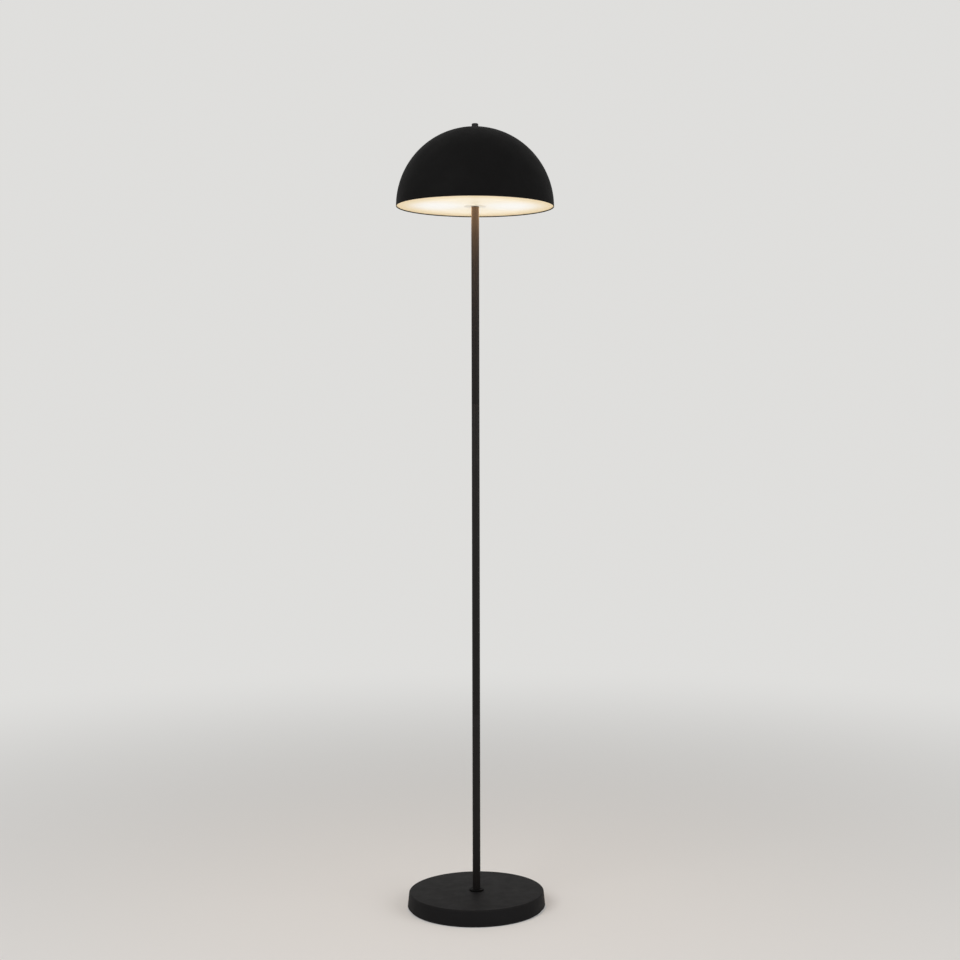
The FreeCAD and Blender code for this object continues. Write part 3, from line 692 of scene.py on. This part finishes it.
def build_pole(name):
    """One of the pole's tubes."""
    low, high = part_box(name)
    radius = high.x
    inner = radius - POLE_WALL
    outline = rounded([(radius, low.z, POLE_EDGE), (radius, high.z, POLE_EDGE), (inner, high.z, 0),
                       (inner, low.z, 0)], steps=3)
    tube = turn(f"{name}_tube", outline, POLE_SEGMENTS, (FINISHES["pole_black"],))
    stands_for(tube, "stand", "pole_black", name)


for name in ("pole_lower", "pole_middle", "pole_upper"):
    build_pole(name)


# Disc and the ring under it.

DISC_EDGE = 0.6 * MM
DISC_HOLE_EDGE = 0.2 * MM
UPPER_FACE_DEPTH = 0.05 * MM
RING_EDGE = 0.4 * MM


def build_disc():
    """The opal disc, dimmer on its upper face."""
    outer = disc_high.x
    outline = rounded([
        (CENTRE_HOLE, disc_low.z, DISC_HOLE_EDGE), (outer, disc_low.z, DISC_EDGE),
        (outer, disc_high.z, DISC_EDGE), (CENTRE_HOLE, disc_high.z, DISC_HOLE_EDGE)], steps=4)

    def finish_at(number):
        return 1 if outline[number][1] > disc_high.z - UPPER_FACE_DEPTH else 0

    disc = turn("opal_disc", outline, WIDE_SEGMENTS, (FINISHES["opal"], FINISHES["opal_upper"]),
                finish_at)
    stands_for(disc, "stand", "opal", "diffuser")


def build_ring():
    """The ring between the disc and the pole's top."""
    low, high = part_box("diffuser_ring")
    outline = rounded([(CENTRE_HOLE, low.z, 0), (high.x, low.z, RING_EDGE), (high.x, high.z, 0),
                       (CENTRE_HOLE, high.z, 0)], steps=4)
    ring = turn("disc_ring", outline, RING_SEGMENTS, (FINISHES["opal_ring"],))
    stands_for(ring, "stand", "opal", "diffuser_ring")


build_disc()
build_ring()


# Threads and nuts.

THREAD_STEPS = 6
THREAD_DEPTH = 0.52
ROD_PITCH = 1.0 * MM
ROD_BORE = 3.05 * MM
NIPPLE_PITCH = 1.0 * MM
NIPPLE_BORE = 3.5 * MM
NIPPLE_HOLE = 5.05 * MM
NUT_HEIGHT = 5.0 * MM
NUT_EDGE = 0.4 * MM
NUT_FACE = 0.93
NUT_SLOPE = math.tan(math.radians(30))


def thread_flank(radius, low, high, pitch, angle):
    """Points up one side of a thread, at that angle round it."""
    count = round((high - low) / pitch * THREAD_STEPS)
    depth = THREAD_DEPTH * pitch
    points = [(radius - depth, low)]
    for step in range(1, count):
        height = low + (high - low) * step / count
        wave = 0.5 - 0.5 * math.cos(FULL_TURN * height / pitch - angle)
        points.append((radius - depth * wave, height))
    return points + [(radius - depth, high)]


def build_threaded(node, pitch, bore, segments):
    """A threaded rod or nipple in a node's place."""
    low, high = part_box(node)

    def outline(angle):
        return [(bore, low.z), *thread_flank(high.x, low.z, high.z, pitch, angle), (bore, high.z)]

    piece = turn(f"{node}_threaded", outline, segments, (FINISHES["zinc_steel"],))
    stands_for(piece, "stand", "zinc_steel", node)


def hex_nut(name, low, high, flats, bore):
    """A hexagonal nut about the upright axis, its corners turned down on both faces."""
    reach = flats / 2
    face = NUT_FACE * reach

    def outline(angle):
        corner = reach / math.cos(angle % (FULL_TURN / 6) - FULL_TURN / 12)
        fall = (corner - face) * NUT_SLOPE
        return [(bore, low + NUT_EDGE), (bore + NUT_EDGE, low), (face, low), (corner, low + fall),
                (corner, high - fall), (face, high), (bore + NUT_EDGE, high), (bore, high - NUT_EDGE)]

    return turn(name, outline, NUT_SEGMENTS, (FINISHES["zinc_steel"],))


def build_nuts(node, bore, height=None):
    """The nut of a node, or its lowest and highest where a nut's height is given."""
    low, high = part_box(node)
    flats = high.y - low.y
    if height is None:
        made = hex_nut(f"{node}_hex", low.z, high.z, flats, bore)
    else:
        made = joined(f"{node}_hex", [
            hex_nut("lower_nut", low.z, low.z + height, flats, bore),
            hex_nut("upper_nut", high.z - height, high.z, flats, bore)])
    stands_for(made, "stand", "zinc_steel", node)


build_threaded("shade_rod", ROD_PITCH, 0, ROD_SEGMENTS)
for name in ("base_nipple", "pole_lower_nipple", "pole_upper_nipple", "hub_nipple"):
    build_threaded(name, NIPPLE_PITCH, NIPPLE_BORE, NIPPLE_SEGMENTS)
build_nuts("base_nut", NIPPLE_HOLE)
build_nuts("hub_nut", NIPPLE_HOLE)
build_nuts("shade_nut", ROD_BORE)
build_nuts("rod_nuts", ROD_BORE, NUT_HEIGHT)


# Screws under the plate. The head's crown is given as shares of its radius and rises in mm.

SCREW_COUNT = 3
SCREW_ANGLE = math.radians(30)
SCREW_HEAD = 4.0 * MM
SCREW_HEAD_HEIGHT = 1.8 * MM
SCREW_CROWN = ((0.55, 0.08), (0.85, 0.4), (1, 1.1))
SCREW_HEAD_EDGE = 0.15 * MM
SCREW_RADIUS = 2.0 * MM
SCREW_PITCH = 0.7 * MM
RECESS_REACH = 2.1 * MM
RECESS_WIDTH = 0.9 * MM
RECESS_DEPTH = 1.1 * MM


def build_plate_screws():
    """Pan-head screws with a cross recess, heads down under the plate."""
    low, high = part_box("plate_screws")
    circle = -low.y - SCREW_HEAD
    neck = low.z + SCREW_HEAD_HEIGHT

    def outline(angle):
        return [(0, low.z), *((SCREW_HEAD * share, low.z + rise * MM) for share, rise in SCREW_CROWN),
                (SCREW_HEAD, neck - SCREW_HEAD_EDGE), (SCREW_HEAD - SCREW_HEAD_EDGE, neck),
                *thread_flank(SCREW_RADIUS, neck, high.z, SCREW_PITCH, angle), (0, high.z)]

    screws = []
    for number in range(SCREW_COUNT):
        angle = SCREW_ANGLE + FULL_TURN * number / SCREW_COUNT
        x, y = circle * math.cos(angle), circle * math.sin(angle)
        screw = turn(f"screw_{number + 1}", outline, SCREW_SEGMENTS, (FINISHES["zinc_steel"],),
                     centre=(x, y))
        for half_x, half_y in ((RECESS_REACH, RECESS_WIDTH / 2), (RECESS_WIDTH / 2, RECESS_REACH)):
            slot = bmesh.new()
            add_block(slot, (x - half_x, y - half_y, low.z - RECESS_DEPTH),
                      (x + half_x, y + half_y, low.z + RECESS_DEPTH))
            cut_away(screw, slot)
        screws.append(screw)
    stands_for(joined("plate_pan_screws", screws), "stand", "zinc_steel", "plate_screws")


build_plate_screws()


# The strips inside the bulbs.

CHIP_COUNT = 7
CHIP_SHARE = 0.66
CHIP_RISE = 0.3 * MM


def build_core(side):
    """A square white stick with a row of yellow chips on each face."""
    low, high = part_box(f"bulb_core_{side}")
    middle = (low + high) / 2
    half = (high.y - low.y) / 2
    pitch = (high.x - low.x) / CHIP_COUNT
    across = half * CHIP_SHARE
    mesh = bmesh.new()
    add_block(mesh, low, high)
    for number in range(CHIP_COUNT):
        start = low.x + pitch * (number + (1 - CHIP_SHARE) / 2)
        end = start + pitch * CHIP_SHARE
        for sign in (-1, 1):
            near, far = sorted((sign * (half - CHIP_RISE), sign * (half + CHIP_RISE)))
            add_block(mesh, (start, middle.y + near, middle.z - across),
                      (end, middle.y + far, middle.z + across), 1)
            add_block(mesh, (start, middle.y - across, middle.z + near),
                      (end, middle.y + across, middle.z + far), 1)
    core = finish_mesh(f"bulb_strip_{side}", mesh, (FINISHES["bulb_white"], FINISHES["bulb_light"]))
    stands_for(core, f"bulb_{side}", "bulb_light", f"bulb_core_{side}")


for side in ("left", "right"):
    build_core(side)


# Carried-over nodes take the finish of their slot.

for node_name, node in nodes.items():
    if node.hide_render:
        continue
    node.data.materials.clear()
    node.data.materials.append(FINISHES[SLOT_OF[node_name]])


# Floor, light and camera.

def background_rays(tree):
    """1 for the rays that show the background: seen, mirrored or through glass."""
    path = tree.nodes.new("ShaderNodeLightPath")
    found = path.outputs["Is Camera Ray"]
    for kind in ("Is Glossy Ray", "Is Transmission Ray"):
        found = number_math(tree, "MAXIMUM", found, path.outputs[kind])
    return found


def build_floor():
    """A pale floor that runs into the backdrop away from the lamp, and is clear from below."""
    data = bpy.data.meshes.new("floor")
    mesh = bmesh.new()
    bmesh.ops.create_grid(mesh, x_segments=1, y_segments=1, size=FLOOR_REACH)
    mesh.to_mesh(data)
    mesh.free()
    floor = bpy.data.objects.new("floor", data)
    bpy.context.scene.collection.objects.link(floor)
    made, shader = new_material("floor_paper")
    tree = made.node_tree
    feed(shader, "Base Color", FLOOR)
    feed(shader, "Roughness", 0.9)
    feed(shader, "Specular IOR Level", 0.1)
    away = vector_math(tree, "LENGTH", "Value", places(shader))
    far = spread(shader, away, FADE_LEAST, 1, FADE_START, FADE_END)
    share = number_math(tree, "MULTIPLY", far, background_rays(tree))
    paper = add(shader, "ShaderNodeEmission", Color=BACKDROP, Strength=1.0)
    above = mixed(tree, share, shader.outputs[0], paper.outputs[0])
    from_below = add(shader, "ShaderNodeNewGeometry").outputs["Backfacing"]
    clear = add(shader, "ShaderNodeBsdfTransparent").outputs[0]
    feed(tree.nodes["Material Output"], "Surface", mixed(tree, from_below, above, clear))
    data.materials.append(made)


def build_world():
    """Soft light from all round, and a pale backdrop where it is seen."""
    world = bpy.data.worlds.new("studio")
    world.use_nodes = True
    bpy.context.scene.world = world
    tree = world.node_tree
    fill = tree.nodes["Background"]
    way = add(fill, "ShaderNodeTexCoord").outputs["Generated"]
    upward = add(fill, "ShaderNodeSeparateXYZ", Vector=way).outputs["Z"]
    strength = add(fill, "ShaderNodeMapRange", Value=upward, From_Min=0.0,
                   From_Max=FILL_OVERHEAD_FROM, To_Min=FILL_AT_HORIZON, To_Max=FILL_OVERHEAD)
    feed(fill, "Color", FILL_LIGHT)
    feed(fill, "Strength", strength.outputs["Result"])
    seen = add(fill, "ShaderNodeBackground", Color=BACKDROP, Strength=1.0)
    feed(tree.nodes["World Output"], "Surface",
         mixed(tree, background_rays(tree), fill.outputs[0], seen.outputs[0]))


def soft_box(name, place, target, size, power, colour=(1, 1, 1)):
    """A round soft light that the camera doesn't see."""
    light = bpy.data.lights.new(name, "AREA")
    light.shape = "DISK"
    light.size = size
    light.energy = power
    light.color = colour
    lamp = bpy.data.objects.new(name, light)
    lamp.location = place
    lamp.rotation_euler = (Vector(target) - Vector(place)).to_track_quat("-Z", "Y").to_euler()
    lamp.visible_camera = False
    bpy.context.scene.collection.objects.link(lamp)


def build_camera():
    """The photograph's view. The frame is shifted sideways as the photograph's is."""
    camera = bpy.data.cameras.new("camera")
    camera.lens = CAMERA_LENS
    camera.shift_x = CAMERA_SHIFT
    camera.clip_end = CAMERA_SIGHT
    seat = bpy.data.objects.new("camera", camera)
    yaw = Matrix.Rotation(-CAMERA_YAW_RIGHT, 4, "Z")
    pitch = Matrix.Rotation(math.pi / 2 - CAMERA_PITCH_DOWN, 4, "X")
    roll = Matrix.Rotation(-CAMERA_ROLL, 4, "Z")
    place = Matrix.Translation((0, -CAMERA_DISTANCE, CAMERA_HEIGHT))
    seat.matrix_world = place @ (yaw @ pitch) @ roll
    bpy.context.scene.collection.objects.link(seat)
    bpy.context.scene.camera = seat


build_floor()
build_world()
for box in SOFT_BOXES:
    soft_box(*box)
soft_box("glow", (0, 0, disc_low.z - GLOW_GAP), (0, 0, 0), GLOW_SIZE, GLOW_POWER, LAMP_LIGHT)
build_camera()
bpy.context.scene.view_settings.view_transform = "Standard"
